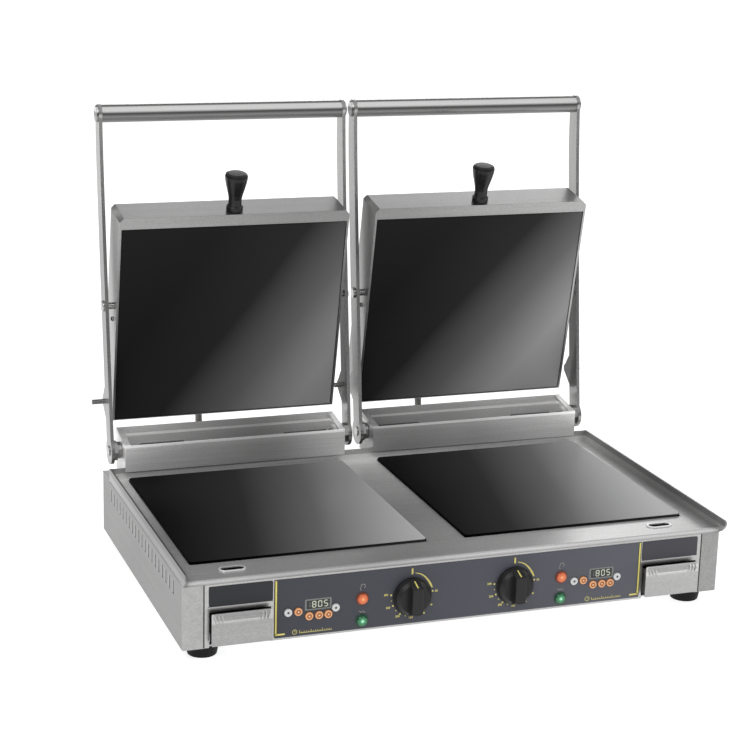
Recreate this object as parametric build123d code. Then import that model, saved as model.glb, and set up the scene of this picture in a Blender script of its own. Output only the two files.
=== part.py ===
from build123d import *
import math
import os

# Double contact grill, lids open.
# Millimetres, +Z up, +X to the right as seen by the person who uses it, the
# front faces -Y.  All positions below are counted from the body's front face
# (Y = 0) and the table (Z = 0); every piece is written shifted by -Y_ORIGIN,
# which puts the origin at the middle of the footprint, on the table.

# ------------------------------------------------------------ driving sizes
BODY_W = 620.0          # width of the body
BODY_D = 385.0          # depth of the body
BODY_Z0 = 14.0          # underside of the body, on its feet
DECK_Z = 86.5           # top of the deck
RIM_Z = 101.0           # top of the deck's upturned sides
SHEET = 1.5             # sheet steel
Y_ORIGIN = 213.5        # middle of the whole grill, from the front face

GLASS_IN = 22.5         # lower glasses: inner and outer |X|
GLASS_OUT = 288.5
GLASS_Y0 = 53.0
GLASS_Y1 = 341.0
GLASS_TOP = 89.8
GLASS_T = 4.0

KNOB_X = 59.4           # thermostat knobs
KNOB_Z = 47.5
KNOB_R = 21.3
LAMP_X = 115.2
DISPLAY_X = 164.1
DISPLAY_Z = 50.1
KEYS = ((-33.1, 44.2), (-21.9, 44.0), (-9.9, 37.8), (1.0, 37.8), (11.1, 37.8), (19.2, 44.3))
KEY_R = 4.4
KEY_TRAVEL = 0.8

DRAWER_IN = 215.9       # fat drawers: inner and outer |X|
DRAWER_OUT = 281.0
DRAWER_LEN = 190.0
DRAWER_OFF = 8.3        # front sheet of a drawer, in front of the body
DRAWER_Z0, DRAWER_Z1 = 18.3, 54.0

SHAFT_Y, SHAFT_Z, SHAFT_R = 369.5, 116.0, 6.0
WAIST_R = 3.8           # shaft between its bearings
RUN = 0.06              # radial clearance of a turning fit

BOX_IN, BOX_OUT = 18.5, 291.5        # spring boxes |X|
BOX_Y0, BOX_Y1 = 344.1, 394.0
BOX_Z0, BOX_ZF, BOX_ZR = 86.5, 128.0, 136.5

ARM_T = 4.0
ARM_W = 22.0
ARM_OUT = 301.5         # inner faces of the outer and inner arms
ARM_IN = 9.5
ARM_LINE = ((369.5, 116.0), (376.0, 160.0), (385.5, 230.0), (393.5, 290.0), (401.0, 348.0),
            (407.5, 400.0), (413.5, 452.0), (417.0, 509.5))
HANDLE_Y, HANDLE_Z, HANDLE_R = 417.0, 509.5, 10.3

LID_Y, LID_Z = 401.0, 144.7          # lower edge of the upper glass, lids open
LID_LEAN = 11.1                      # degrees that the open lid leans forward
LID_IN, LID_OUT = 16.5, 294.5
LID_H = 258.2
LID_DEEP = 47.5
PIVOT_U, PIVOT_W = 141.3, 18.6       # lid pivot, up the glass and behind it
PIVOT_R = 4.0

FOOT_X, FOOT_Y = 283.0, 23.0
CONDUIT_R = 4.5
CONDUIT_X = {"left": -172.0, "right": 122.0}
# route of a conduit in (Y, Z), from inside the lid to the gland on the rear
CONDUIT_ROUTE = ((406.5, 289.7), (431.5, 294.6), (449.0, 286.5), (460.0, 269.0), (464.0, 243.0),
                 (465.0, 203.0), (463.0, 163.0), (463.5, 125.0), (456.0, 95.0), (440.0, 71.0),
                 (420.0, 57.0), (399.0, 57.0))

os.makedirs("parts", exist_ok=True)
SIDES = (("left", -1), ("right", 1))


# ---------------------------------------------------------------- helpers
def block(x0, x1, y0, y1, z0, z1):
    x0, x1 = min(x0, x1), max(x0, x1)
    return Pos((x0 + x1) / 2, (y0 + y1) / 2, (z0 + z1) / 2) * Box(x1 - x0, y1 - y0, z1 - z0)


def rod_x(x0, x1, y, z, r):
    return Pos((x0 + x1) / 2, y, z) * Rot(0, 90, 0) * Cylinder(r, abs(x1 - x0))


def rod_y(x, y0, y1, z, r):
    return Pos(x, (y0 + y1) / 2, z) * Rot(90, 0, 0) * Cylinder(r, abs(y1 - y0))


def rod_z(x, y, z0, z1, r):
    return Pos(x, y, (z0 + z1) / 2) * Cylinder(r, abs(z1 - z0))


def cone_y(x, y0, y1, z, r0, r1):
    # radius r0 at y0 (front), r1 at y1 (rear)
    return Pos(x, (y0 + y1) / 2, z) * Rot(-90, 0, 0) * Cone(r0, r1, y1 - y0)


def prism_x(pts, x0, x1):
    face = Plane.YZ.offset(min(x0, x1)) * make_face(Polyline(*pts, close=True))
    return extrude(face, amount=abs(x1 - x0))


def soften(shape, edges, r):
    edges = list(edges)
    if not edges:
        return shape
    try:
        done = fillet(edges, r)
        if done.is_valid and done.volume > 0:
            return done
    except Exception:
        pass
    return shape


def edges_along(shape, axis, test):
    return [e for e in shape.edges().filter_by(axis) if test(e.center())]


def save(name, *shapes):
    solids = [s for shape in shapes for s in shape.solids()]
    whole = solids[0] if len(solids) == 1 else Compound(solids)
    export_step(Pos(0, -Y_ORIGIN, 0) * whole, "parts/" + name + ".step")


# ------------------------------------------------------------ body sheets
half = BODY_W / 2
pan = block(-half + 1.5, half - 1.5, 1.5, 381, BODY_Z0 + 1.5, BODY_Z0 + 3)
pan += block(-200, 200, 1.5, 3, BODY_Z0 + 1.5, BODY_Z0 + 6)
pan += block(-half + 1.5, half - 1.5, 379.5, 381, BODY_Z0 + 1.5, BODY_Z0 + 14)
for k in range(-5, 6):
    for y in (120, 190, 260):
        pan -= block(k * 34 - 11, k * 34 + 11, y - 2.5, y + 2.5, 10, 20)
for s in (-1, 1):
    pan -= block(s * 286.5, s * 289, 0, 10.6, 10, 20)
save("base_pan", pan)

SLOT_N = 20
SLOT_Y0, SLOT_Y1 = 38.6, 339.4
SLOT_Z0, SLOT_Z1 = 63.2, 77.4
for side, s in SIDES:
    plan = [(half, 0), (287, 0), (287, 10), (287 + SHEET, 10), (287 + SHEET, SHEET), (half - SHEET, SHEET),
            (half - SHEET, 381.8), (292, 381.8), (292, 383.3), (half, 383.3)]
    face = make_face(Polyline(*[(s * x, y) for x, y in plan], close=True))
    panel = Pos(0, 0, BODY_Z0) * extrude(face, amount=DECK_Z - SHEET - BODY_Z0)
    panel = soften(panel, edges_along(panel, Axis.Z, lambda c: abs(abs(c.X) - half) < 0.01 and abs(c.Y) < 0.01), 2.2)
    panel += block(s * 294, s * (half - 0.5), 2.5, 379, BODY_Z0, BODY_Z0 + SHEET)
    for k in range(SLOT_N):
        y = SLOT_Y0 + k * (SLOT_Y1 - SLOT_Y0) / (SLOT_N - 1)
        panel -= block(s * 307, s * 312, y - 2.3, y + 2.3, SLOT_Z0, SLOT_Z1)
        tab = Pos(s * (half - 0.5), y + 2.4, (SLOT_Z0 + SLOT_Z1) / 2) * Rot(0, 0, s * -52) * Pos(0, -2.6, 0) * Box(0.9, 6.4, SLOT_Z1 - SLOT_Z0 + 1)
        panel += tab & block(s * 303, s * half, y - 6, y + 3.2, SLOT_Z0 - 0.5, SLOT_Z1 + 0.5)
    save(side + "_side_panel", panel)

rear = block(-half + 1.6, half - 1.6, BODY_D - SHEET, BODY_D, BODY_Z0 + SHEET, DECK_Z - SHEET)
rear += block(-half, half, 347.3, BODY_D, DECK_Z - SHEET, DECK_Z)
for k in range(9):
    x = -120 + 14 * k
    rear -= block(x - 2, x + 2, 380, 390, 30, 62)
rear -= rod_y(230, 380, 390, 42, 10.1)
for x in CONDUIT_X.values():
    rear -= rod_y(x, 380, 390, CONDUIT_ROUTE[-1][1], 7.1)
save("rear_panel", rear)

# deck: flat tray with upturned sides, rear upstand and a rolled front hem
deck = block(-half, half, 1.0, 347.0, DECK_Z - SHEET, DECK_Z)
rim = [(3, 85), (-3.0, 85.4), (-7.5, 88.0), (-11.2, 91.6), (-13.4, 95.0), (-14.0, 97.4), (-13.5, 99.3), (-12.2, 100.5),
       (-10.2, RIM_Z), (346.5, RIM_Z), (348.3, 100.2), (349, 98.5), (349, 86.6), (347.0, 86.6), (347.0, 85)]
for s in (-1, 1):
    deck += prism_x(rim, s * (half - 2), s * half)
deck += block(-half + 1, half - 1, 345.5, 347.0, DECK_Z - 1, 100.5)
deck += prism_x([(-1.0, 83.9), (-1.0, 88.2), (-0.4, 88.9), (0.4, 89.3), (2.2, 89.3), (3.2, 88.9), (6.5, 86.5), (6.5, 85), (0, 85), (0, 83.9)],
                -half + 1, half - 1)
for s in (-1, 1):
    deck -= block(s * (GLASS_IN - 0.5), s * (GLASS_OUT + 0.5), GLASS_Y0 - 0.5, GLASS_Y1 + 0.5, 80, 95)
    # fat drain: raised oval lip and a short chute to the drawer below
    at = Pos(s * 249, 30, 0)
    lip = at * (Pos(0, 0, 56) * extrude(SlotOverall(28, 12.4), amount=DECK_Z + 1.4 - 56))
    lip += at * (Pos(0, 0, DECK_Z) * extrude(SlotOverall(30, 14.2), amount=1.2, taper=20))
    deck += lip
    deck -= at * (Pos(0, 0, 50) * extrude(SlotOverall(25.6, 10), amount=45))
deck = soften(deck, [e for e in deck.edges() if e.center().Z > 88.2 and e.center().Z < 89.4 and abs(abs(e.center().X) - 249) < 16 and 20 < e.center().Y < 40], 0.4)
save("top_deck", deck)

# front frame behind the control fascia, with its openings
frame = block(-286.8, 286.8, 0, SHEET, BODY_Z0 + 0.2, 83.8)
frame += block(-286.8, 286.8, SHEET, 12, 82.3, 83.8)
for s in (-1, 1):
    frame -= block(s * (DRAWER_IN - 0.5), s * (DRAWER_OUT + 0.5), -5, 5, 0, 53.0)
fascia = block(-212, 212, -0.8, 0, 16.6, 81.2)
fascia = soften(fascia, edges_along(fascia, Axis.Y, lambda c: True), 1.5)
for s in (-1, 1):
    for plate in (0, 1):
        cut = rod_y(s * KNOB_X, -6, 6, KNOB_Z, 5.2)
        for z in (50.8, 26.0):
            cut += rod_y(s * LAMP_X, -6, 6, z, 5.1)
        cut += block(s * DISPLAY_X - 13.9, s * DISPLAY_X + 13.9, -6, 6, DISPLAY_Z - 5.9, DISPLAY_Z + 5.9)
        for dx, z in KEYS:
            cut += rod_y(s * DISPLAY_X + dx, -6, 6, z, KEY_R + 0.45)
        if plate:
            fascia -= cut
        else:
            frame -= cut
save("front_frame", frame)
save("control_fascia", fascia)

plates = []
for s in (-1, 1):
    plate = block(s * 213.6, s * 282, -0.8, 0, 59.6, 81.2)
    plates.append(soften(plate, edges_along(plate, Axis.Y, lambda c: True), 1.5))
save("label_plates", *plates)

# ------------------------------------------------- cooking glasses, heaters
glasses, trays = [], []
for s in (-1, 1):
    glass = block(s * GLASS_IN, s * GLASS_OUT, GLASS_Y0, GLASS_Y1, GLASS_TOP - GLASS_T, GLASS_TOP)
    glass = chamfer(edges_along(glass, Axis.Z, lambda c: True), 3.0)
    glass = chamfer(glass.faces().sort_by(Axis.Z)[-1].edges(), 0.7)
    glasses.append(glass)
    z1 = GLASS_TOP - GLASS_T
    tray = block(s * (GLASS_IN + 0.2), s * (GLASS_OUT - 0.2), GLASS_Y0 + 0.2, GLASS_Y1 - 0.2, 60, z1)
    tray -= block(s * (GLASS_IN + 1.7), s * (GLASS_OUT - 1.7), GLASS_Y0 + 1.7, GLASS_Y1 - 1.7, 61.5, z1 - 1.5)
    tray -= block(s * (GLASS_IN + 10), s * (GLASS_OUT - 10), GLASS_Y0 + 10, GLASS_Y1 - 10, 61.5, z1 + 1)
    trays.append(tray)
    trays.append(block(s * (GLASS_IN + 4), s * (GLASS_OUT - 4), GLASS_Y0 + 4, GLASS_Y1 - 4, 61.5, 76))
save("lower_glasses", *glasses)
save("lower_heaters", *trays)

# ----------------------------------------------------------- front controls
displays, lamps, bezels, boards, thermostats = [], [], [], [], []
for side, s in SIDES:
    x = s * DISPLAY_X
    module = block(x - 13.7, x + 13.7, -0.6, 2, DISPLAY_Z - 5.7, DISPLAY_Z + 5.7)
    module += block(x - 14.3, x + 14.3, 1.5, 8, DISPLAY_Z - 5.2, DISPLAY_Z + 9)
    displays.append(module)
    for k, (dx, z) in enumerate(KEYS, 1):
        key = rod_y(x + dx, -2.6, 7.0, z, KEY_R)
        key = soften(key, [e for e in key.edges() if e.center().Y < -2.5], 0.8)
        save(side + "_key_%d" % k, key)
    board = block(x - 40, x + 27, 10, 11.6, 24, 64)
    for dx, z in KEYS:
        board += block(x + dx - 3, x + dx + 3, 8.4, 10, z - 3, z + 3)
    boards.append(board)
    for z in (50.8, 26.0):
        # lens: a domed cap in front, a stem through the frame
        lens = rod_y(s * LAMP_X, -4.0, -1.3, z, 6.1)
        lens = soften(lens, [e for e in lens.edges() if e.center().Y < -3.9], 2.2)
        lens += rod_y(s * LAMP_X, -1.3, 5, z, 4.3)
        lamps.append(lens)
        ring = rod_y(s * LAMP_X, -1.9, -0.8, z, 7.2)
        ring = soften(ring, [e for e in ring.edges() if e.center().Y < -1.8], 0.5)
        ring -= rod_y(s * LAMP_X, -5, -1.25, z, 6.2)
        ring += rod_y(s * LAMP_X, -0.8, 4.5, z, 5.0)
        bezels.append(ring - rod_y(s * LAMP_X, -5, 6, z, 4.4))

    # thermostat: box behind the frame, spindle through it, knob on the spindle
    x = s * KNOB_X
    body = block(x - 20, x + 20, 3, 30, KNOB_Z - 16, KNOB_Z + 16)
    body += rod_y(x, 1.5, 3.2, KNOB_Z, 8)
    body -= rod_y(x, 0, 40, KNOB_Z, 3.0 + RUN)
    thermostats.append(body)
    spindle = rod_y(x, -14, 24, KNOB_Z, 3.0)
    spindle = spindle - block(x - 4, x + 4, -15, -4, KNOB_Z + 2.2, KNOB_Z + 4)
    save(side + "_thermostat_spindle", spindle)
    knob = rod_y(x, -4.6, -1.8, KNOB_Z, KNOB_R)
    knob += cone_y(x, -8.2, -4.6, KNOB_Z, KNOB_R - 1.6, KNOB_R - 0.3)
    knob += cone_y(x, -11.6, -8.2, KNOB_Z, KNOB_R - 5.0, KNOB_R - 1.6)
    grip = block(x - 6.2, x + 6.2, -21.0, -4.0, KNOB_Z - 20.8, KNOB_Z + 20.8)
    grip = soften(grip, [e for e in grip.edges() if e.center().Y < -20.9 and e.length > 20], 1.6)
    grip &= cone_y(x, -21.0, -3.0, KNOB_Z, 15.0, 21.2)
    knob += grip
    knob -= rod_y(x, -14, 0, KNOB_Z, 3.0) - block(x - 4, x + 4, -15, -4, KNOB_Z + 2.2, KNOB_Z + 4)
    save(side + "_thermostat_knob", knob)
save("timer_displays", *displays)
save("timer_boards", *boards)
save("indicator_lamps", *lamps)
save("lamp_bezels", *bezels)
save("thermostats", *thermostats)

# -------------------------------------------------------------- fat drawers
# The front sheet stands DRAWER_OFF in front of the body, so that fingers reach behind its top edge.
guides = []
for side, s in SIDES:
    xc = s * (DRAWER_IN + DRAWER_OUT) / 2
    hw = (DRAWER_OUT - DRAWER_IN) / 2
    y0 = -DRAWER_OFF
    front = block(xc - hw, xc + hw, y0, y0 + 1.2, DRAWER_Z0, DRAWER_Z1)
    front = soften(front, edges_along(front, Axis.Y, lambda c: True), 1.2)
    # pull: the top of the sheet is pressed forward into a long crescent lip, with short ribs at its ends
    lip = prism_x([(y0 + 0.1, 43.6), (y0 - 1.7, 44.8), (y0 - 2.3, 45.8), (y0 - 2.2, 46.8), (y0 - 0.6, 53.2), (y0 + 0.1, 53.9)],
                  xc - hw + 2.2, xc + hw - 2.2)
    lip &= Pos(xc, y0 + 4, 140.0) * Rot(90, 0, 0) * Cylinder(96.4, 20)
    front += lip
    for end in (-1, 1):
        for k in range(3):
            x0 = xc + end * (28.6 - 3.9 * k)
            rib = prism_x([(y0 + 0.1, 43.0), (y0 - 2.4, 44.6), (y0 - 3.3, 46.4), (y0 - 2.6, 50.6), (y0 - 0.4, 52.6), (y0 + 0.1, 52.6)], x0 - 0.8, x0 + 0.8)
            front += Pos(x0, 0, 48) * Rot(0, end * 14, 0) * Pos(-x0, 0, -48) * rib
    tub = block(xc - hw + 2.7, xc + hw - 2.7, y0 + 1.2, DRAWER_LEN, 18.7, 48)
    tub -= block(xc - hw + 3.9, xc + hw - 3.9, 1.6, DRAWER_LEN - 1.2, 19.9, 60)
    tub -= block(xc - hw + 3.9, xc + hw - 3.9, y0 + 1.2, 0.4, 19.9, 60)
    save(side + "_drawer", front + tub)
    for end in (-1, 1):
        x0 = xc + end * (hw - 2.1)
        guides.append(block(x0, x0 + end * 1.4, 6, DRAWER_LEN + 8, BODY_Z0 + 3, 28))
save("drawer_guides", *guides)

# ------------------------------------------------------------- spring boxes
boxes, springs = [], []
for side, s in SIDES:
    wall = 1.4
    outer = [(BOX_Y0, 95.6), (BOX_Y0, BOX_ZF), (BOX_Y0 + wall, BOX_ZF), (BOX_Y0 + wall, 103.0), (348.8, 103.0),
             (348.8, BOX_Z0 + wall), (BOX_Y1 - wall, BOX_Z0 + wall), (BOX_Y1 - wall, BOX_ZR), (BOX_Y1, BOX_ZR),
             (BOX_Y1, BOX_Z0), (347.4, BOX_Z0), (347.4, 101.6), (BOX_Y0 + wall, 101.6), (BOX_Y0 + wall, 95.6)]
    trough = prism_x(outer, s * BOX_IN, s * BOX_OUT)
    end = [(347.4, BOX_Z0), (347.4, 101.6), (BOX_Y0, 101.6), (BOX_Y0, BOX_ZF), (BOX_Y1, BOX_ZR), (BOX_Y1, BOX_Z0)]
    for a, b in ((BOX_IN, BOX_IN + 2.5), (BOX_OUT - 2.5, BOX_OUT)):
        trough += prism_x(end, s * a, s * b)
    # short inward flange on the ends' sloping top edge
    lip = [(BOX_Y0, BOX_ZF - 1.4), (BOX_Y0, BOX_ZF), (BOX_Y1, BOX_ZR), (BOX_Y1, BOX_ZR - 1.4)]
    trough += prism_x(lip, s * (BOX_OUT - 7), s * BOX_OUT)
    trough += prism_x(lip, s * BOX_IN, s * (BOX_IN + 7))
    for a, b in ((BOX_IN, BOX_IN + 8), (BOX_OUT - 8, BOX_OUT)):
        trough += rod_x(s * a, s * b, SHAFT_Y, SHAFT_Z, 11)
    trough -= rod_x(s * 0, s * 300, SHAFT_Y, SHAFT_Z, SHAFT_R + RUN)
    boxes.append(trough)
    for a in (34.0, 214.0):
        coil = Wire(Helix(pitch=3.0, height=54.0, radius=5.15).edges())
        wire = sweep(Plane(coil @ 0, z_dir=coil % 0) * Circle(0.95), path=coil)
        springs.append(Pos(s * a if s > 0 else -a - 54.0, SHAFT_Y, SHAFT_Z) * Rot(0, 90, 0) * wire)
save("spring_boxes", *boxes)
save("lift_springs", *springs)

# ------------------------------------------------------- arms, shaft, handle
def arm_outline():
    left, right = [], []
    n = len(ARM_LINE)
    for i, (y, z) in enumerate(ARM_LINE):
        a = ARM_LINE[max(0, i - 1)]
        b = ARM_LINE[min(n - 1, i + 1)]
        d = math.hypot(b[0] - a[0], b[1] - a[1])
        ny, nz = (b[1] - a[1]) / d, -(b[0] - a[0]) / d
        w = ARM_W / 2 if i < n - 1 else 9.6
        left.append((y - ny * w, z - nz * w))
        right.append((y + ny * w, z + nz * w))
    edges = Spline(*left) + Line(left[-1], right[-1]) + Spline(*right[::-1]) + Line(right[0], left[0])
    return make_face(edges)


def arm(x0, x1, pin):
    face = arm_outline()
    face += Pos(SHAFT_Y, SHAFT_Z) * Circle(16.0)
    face += Pos(HANDLE_Y, HANDLE_Z) * Circle(11.0)
    # lug for the stop pin on the rear edge
    face += make_face(Polyline((386.5, 152.0), (404.2, 166.0), (405.0, 171.5), (401.0, 175.5), (389.5, 192.0), (376.0, 180.0), close=True))
    body = extrude(Plane.YZ.offset(min(x0, x1)) * face, amount=abs(x1 - x0))
    body += rod_x(min(x0, pin), max(x1, pin), 398.0, 169.0, 3.0)
    body -= rod_x(min(x0, x1) - 1, max(x0, x1) + 1, PIVOT_Y, PIVOT_Z, PIVOT_R)
    body -= rod_x(min(x0, x1) - 1, max(x0, x1) + 1, SHAFT_Y, SHAFT_Z, SHAFT_R)
    body -= rod_x(min(x0, x1) - 1, max(x0, x1) + 1, HANDLE_Y, HANDLE_Z, 6.0)
    return body


LID = Pos(0, LID_Y, LID_Z) * Rot(LID_LEAN, 0, 0)     # X, depth behind the glass, height up the glass
LEAN_C, LEAN_S = math.cos(math.radians(LID_LEAN)), math.sin(math.radians(LID_LEAN))
PIVOT_Y = LID_Y + PIVOT_W * LEAN_C - PIVOT_U * LEAN_S
PIVOT_Z = LID_Z + PIVOT_W * LEAN_S + PIVOT_U * LEAN_C
print("lid pivot", round(PIVOT_Y, 3), round(PIVOT_Z, 3))

for side, s in SIDES:
    outer_pin = s * (ARM_OUT + ARM_T + 14)
    inner_pin = s * (ARM_IN + 5.5)
    a, b = sorted((s * ARM_OUT, s * (ARM_OUT + ARM_T)))
    save(side + "_outer_arm", arm(a, b, outer_pin))
    a, b = sorted((s * ARM_IN, s * (ARM_IN - ARM_T)))
    save(side + "_inner_arm", arm(a, b, inner_pin))

    shaft = rod_x(s * (ARM_IN - ARM_T - 1.0), s * (ARM_OUT + ARM_T + 1.6), SHAFT_Y, SHAFT_Z, SHAFT_R)
    shaft = soften(shaft, [e for e in shaft.edges() if e.length > 20], 0.8)
    # thinner between its bearings, inside the springs
    shaft -= rod_x(s * 30, s * 280, SHAFT_Y, SHAFT_Z, SHAFT_R + 1) - rod_x(s * 30, s * 280, SHAFT_Y, SHAFT_Z, WAIST_R)
    save(side + "_shaft", shaft)

    nuts = []
    for collar, nut in (((BOX_OUT + 0.6, BOX_OUT + 5.0), (BOX_OUT + 5.0, ARM_OUT)), ((BOX_IN - 4.4, BOX_IN - 0.6), (ARM_IN, BOX_IN - 4.4))):
        c = rod_x(s * collar[0], s * collar[1], SHAFT_Y, SHAFT_Z, 10.0) - rod_x(s * 0, s * 310, SHAFT_Y, SHAFT_Z, SHAFT_R)
        h = extrude(Plane.YZ.offset(min(s * nut[0], s * nut[1])) * (Pos(SHAFT_Y, SHAFT_Z) * RegularPolygon(12.2, 6)), amount=abs(nut[1] - nut[0]))
        h -= rod_x(s * 0, s * 310, SHAFT_Y, SHAFT_Z, SHAFT_R)
        nuts += [c, h]
    save(side + "_shaft_nuts", *nuts)

    tube = rod_x(s * ARM_IN, s * ARM_OUT, HANDLE_Y, HANDLE_Z, HANDLE_R) - rod_x(s * (ARM_IN + 6), s * (ARM_OUT - 6), HANDLE_Y, HANDLE_Z, HANDLE_R - 1.4)
    tube += rod_x(s * (ARM_IN - ARM_T), s * ARM_IN, HANDLE_Y, HANDLE_Z, 6.0)
    tube += rod_x(s * ARM_OUT, s * (ARM_OUT + ARM_T), HANDLE_Y, HANDLE_Z, 6.0)
    for x0, x1 in ((ARM_OUT + ARM_T, ARM_OUT + ARM_T + 2.2), (ARM_IN - ARM_T - 2.2, ARM_IN - ARM_T)):
        cap = rod_x(s * x0, s * x1, HANDLE_Y, HANDLE_Z, 9.8)
        far = max(x0, x1) if x0 > 50 else min(x0, x1)
        cap = soften(cap, [e for e in cap.edges() if abs(abs(e.center().X) - far) < 0.01], 1.8)
        tube += cap
    save(side + "_handle", tube)

    pins = []
    for tip, face, head in ((285.0, ARM_OUT + ARM_T, 2.6), (26.0, ARM_IN - ARM_T, -2.2)):
        pin = rod_x(s * tip, s * face, PIVOT_Y, PIVOT_Z, PIVOT_R)
        cap = rod_x(s * face, s * (face + head), PIVOT_Y, PIVOT_Z, 6.6)
        cap = soften(cap, [e for e in cap.edges() if abs(abs(e.center().X) - abs(face + head)) < 0.01], 1.4)
        pins.append(pin + cap)
    save(side + "_pivot_pins", *pins)

# -------------------------------------------------------------------- lids
for side, s in SIDES:
    shell = block(s * LID_IN, s * LID_OUT, -0.6, LID_DEEP, -1.8, LID_H)
    shell = chamfer([e for e in shell.edges().filter_by(Axis.Y) if e.center().Z > LID_H - 1], 5.0)
    shell = soften(shell, [e for e in shell.edges().filter_by(Axis.Z) if e.center().Y > LID_DEEP - 1], 1.6)
    shell = soften(shell, [e for e in shell.edges().filter_by(Axis.X) if e.center().Y > LID_DEEP - 1 and e.center().Z > LID_H - 1], 1.6)
    shell = chamfer([e for e in shell.edges().filter_by(Axis.X) if e.center().Y < 0 and e.center().Z < 0], 1.0)
    inner = block(s * (LID_IN + 1.5), s * (LID_OUT - 1.5), 0.9, LID_DEEP - 1.5, -0.3, LID_H - 1.5)
    inner = chamfer([e for e in inner.edges().filter_by(Axis.Y) if e.center().Z > LID_H - 3], 4.4)
    shell -= inner
    shell -= block(s * (LID_IN + 2.6), s * (LID_OUT - 2.6), -2, 3, -0.3, 244.4)
    for a, b in ((LID_IN + 0.5, LID_IN + 9.5), (LID_OUT - 9.5, LID_OUT - 0.5)):
        shell += rod_x(s * a, s * b, PIVOT_W, PIVOT_U, 9.0)
    shell -= rod_x(s * 0, s * 320, PIVOT_W, PIVOT_U, PIVOT_R + RUN)
    # upright slot where the conduit enters, long enough for the lid's tilt
    xc = CONDUIT_X[side]
    slot = Pos(xc, LID_DEEP - 6, PIVOT_U - 4.0) * Rot(-90, 0, 0) * extrude(SlotOverall(27, 13.5, rotation=90), amount=12)
    shell -= slot
    # knob screw hole and vent slots in the back
    xk = s * 155.5
    shell -= rod_z(xk, 12, LID_H - 4, LID_H + 4, 3.0)
    for k in range(-4, 5):
        shell -= block(xk + k * 16 - 2, xk + k * 16 + 2, LID_DEEP - 4, LID_DEEP + 4, 196, 228)
    save(side + "_lid_shell", LID * shell)

    glass = block(s * (LID_IN + 3.0), s * (LID_OUT - 3.0), 0, GLASS_T, 0.0, 244.0)
    glass = chamfer(glass.faces().sort_by(Axis.Y)[0].edges(), 0.6)
    save(side + "_upper_glass", LID * glass)

    tray = block(s * 28, s * 283, GLASS_T, 26, 6, 238)
    tray -= block(s * 29.5, s * 281.5, GLASS_T - 1, 24.5, 7.5, 236.5)
    board = block(s * 30, s * 281, 12, 24.5, 8, 236)
    save(side + "_upper_heater", LID * tray, LID * board)

    profile = [(0, 0), (9.75, 0), (9.75, 6.0), (8.9, 7.0), (8.0, 7.0), (7.75, 9), (7.75, 15), (8.6, 20), (10.2, 26), (12.0, 33), (13.2, 39),
               (13.5, 43), (12.6, 45.6), (10.0, 46.8), (0, 47.0)]
    knob = revolve(Plane.XZ * make_face(Polyline(*profile, close=True)), Axis.Z)
    for k in range(10):
        knob -= Rot(0, 0, 36 * k) * Pos(15.2, 0, 33) * Rot(0, 9, 0) * Cylinder(2.9, 34)
    knob += Pos(0, 0, -10) * Cylinder(2.9, 10, align=(Align.CENTER, Align.CENTER, Align.MIN))
    save(side + "_lid_knob", LID * (Pos(xk, 12, LID_H) * knob))

# ------------------------------------------------------ feet, glands, conduits
feet = []
for sx in (-1, 1):
    for y in (FOOT_Y, BODY_D - FOOT_Y):
        foot = Pos(sx * FOOT_X, y, 0) * Cone(15.5, 18.5, BODY_Z0, align=(Align.CENTER, Align.CENTER, Align.MIN))
        foot = soften(foot, [e for e in foot.edges() if e.center().Z < 0.1], 1.2)
        feet.append(foot)
save("feet", *feet)

gland = rod_y(230, BODY_D - 7, BODY_D + 15, 42, 10.0)
gland += extrude(Plane.XZ.offset(-BODY_D) * (Pos(230, 42) * RegularPolygon(15.5, 6)), amount=-7)
gland += cone_y(230, BODY_D + 15, BODY_D + 27, 42, 10.0, 7.0)
gland -= rod_y(230, BODY_D - 20, BODY_D + 30, 42, 4.5)
entries = [gland]
for x in CONDUIT_X.values():
    z = CONDUIT_ROUTE[-1][1]
    entry = rod_y(x, BODY_D - 5, BODY_D + 14, z, 7.0)
    entry += extrude(Plane.XZ.offset(-BODY_D) * (Pos(x, z) * RegularPolygon(10.5, 6)), amount=-6)
    entry -= rod_y(x, BODY_D - 10, BODY_D + 20, z, 3.2)
    entries.append(entry)
save("cable_glands", *entries)

for side, s in SIDES:
    x = CONDUIT_X[side]
    pts = [Vector(x, y, z) for y, z in CONDUIT_ROUTE]
    radii = []
    for a, b, c in zip(pts, pts[1:], pts[2:]):
        turn = math.radians((b - a).get_angle(c - b))
        radii.append(0.45 * min((b - a).length, (c - b).length) / math.tan(turn / 2))
    print(side, "conduit arc radii", [round(r, 1) for r in radii])
    path = FilletPolyline(*pts, radius=radii)
    start = Plane(path @ 0, z_dir=path % 0)
    tube = sweep(start * Circle(CONDUIT_R), path=path)
    print(side, "conduit length", round(path.length, 1), "volume over section x length",
          round(tube.volume / (math.pi * CONDUIT_R ** 2 * path.length), 4))
    save(side + "_conduit", tube)
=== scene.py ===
import bpy
import bmesh
import math
from mathutils import Matrix, Vector


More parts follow.
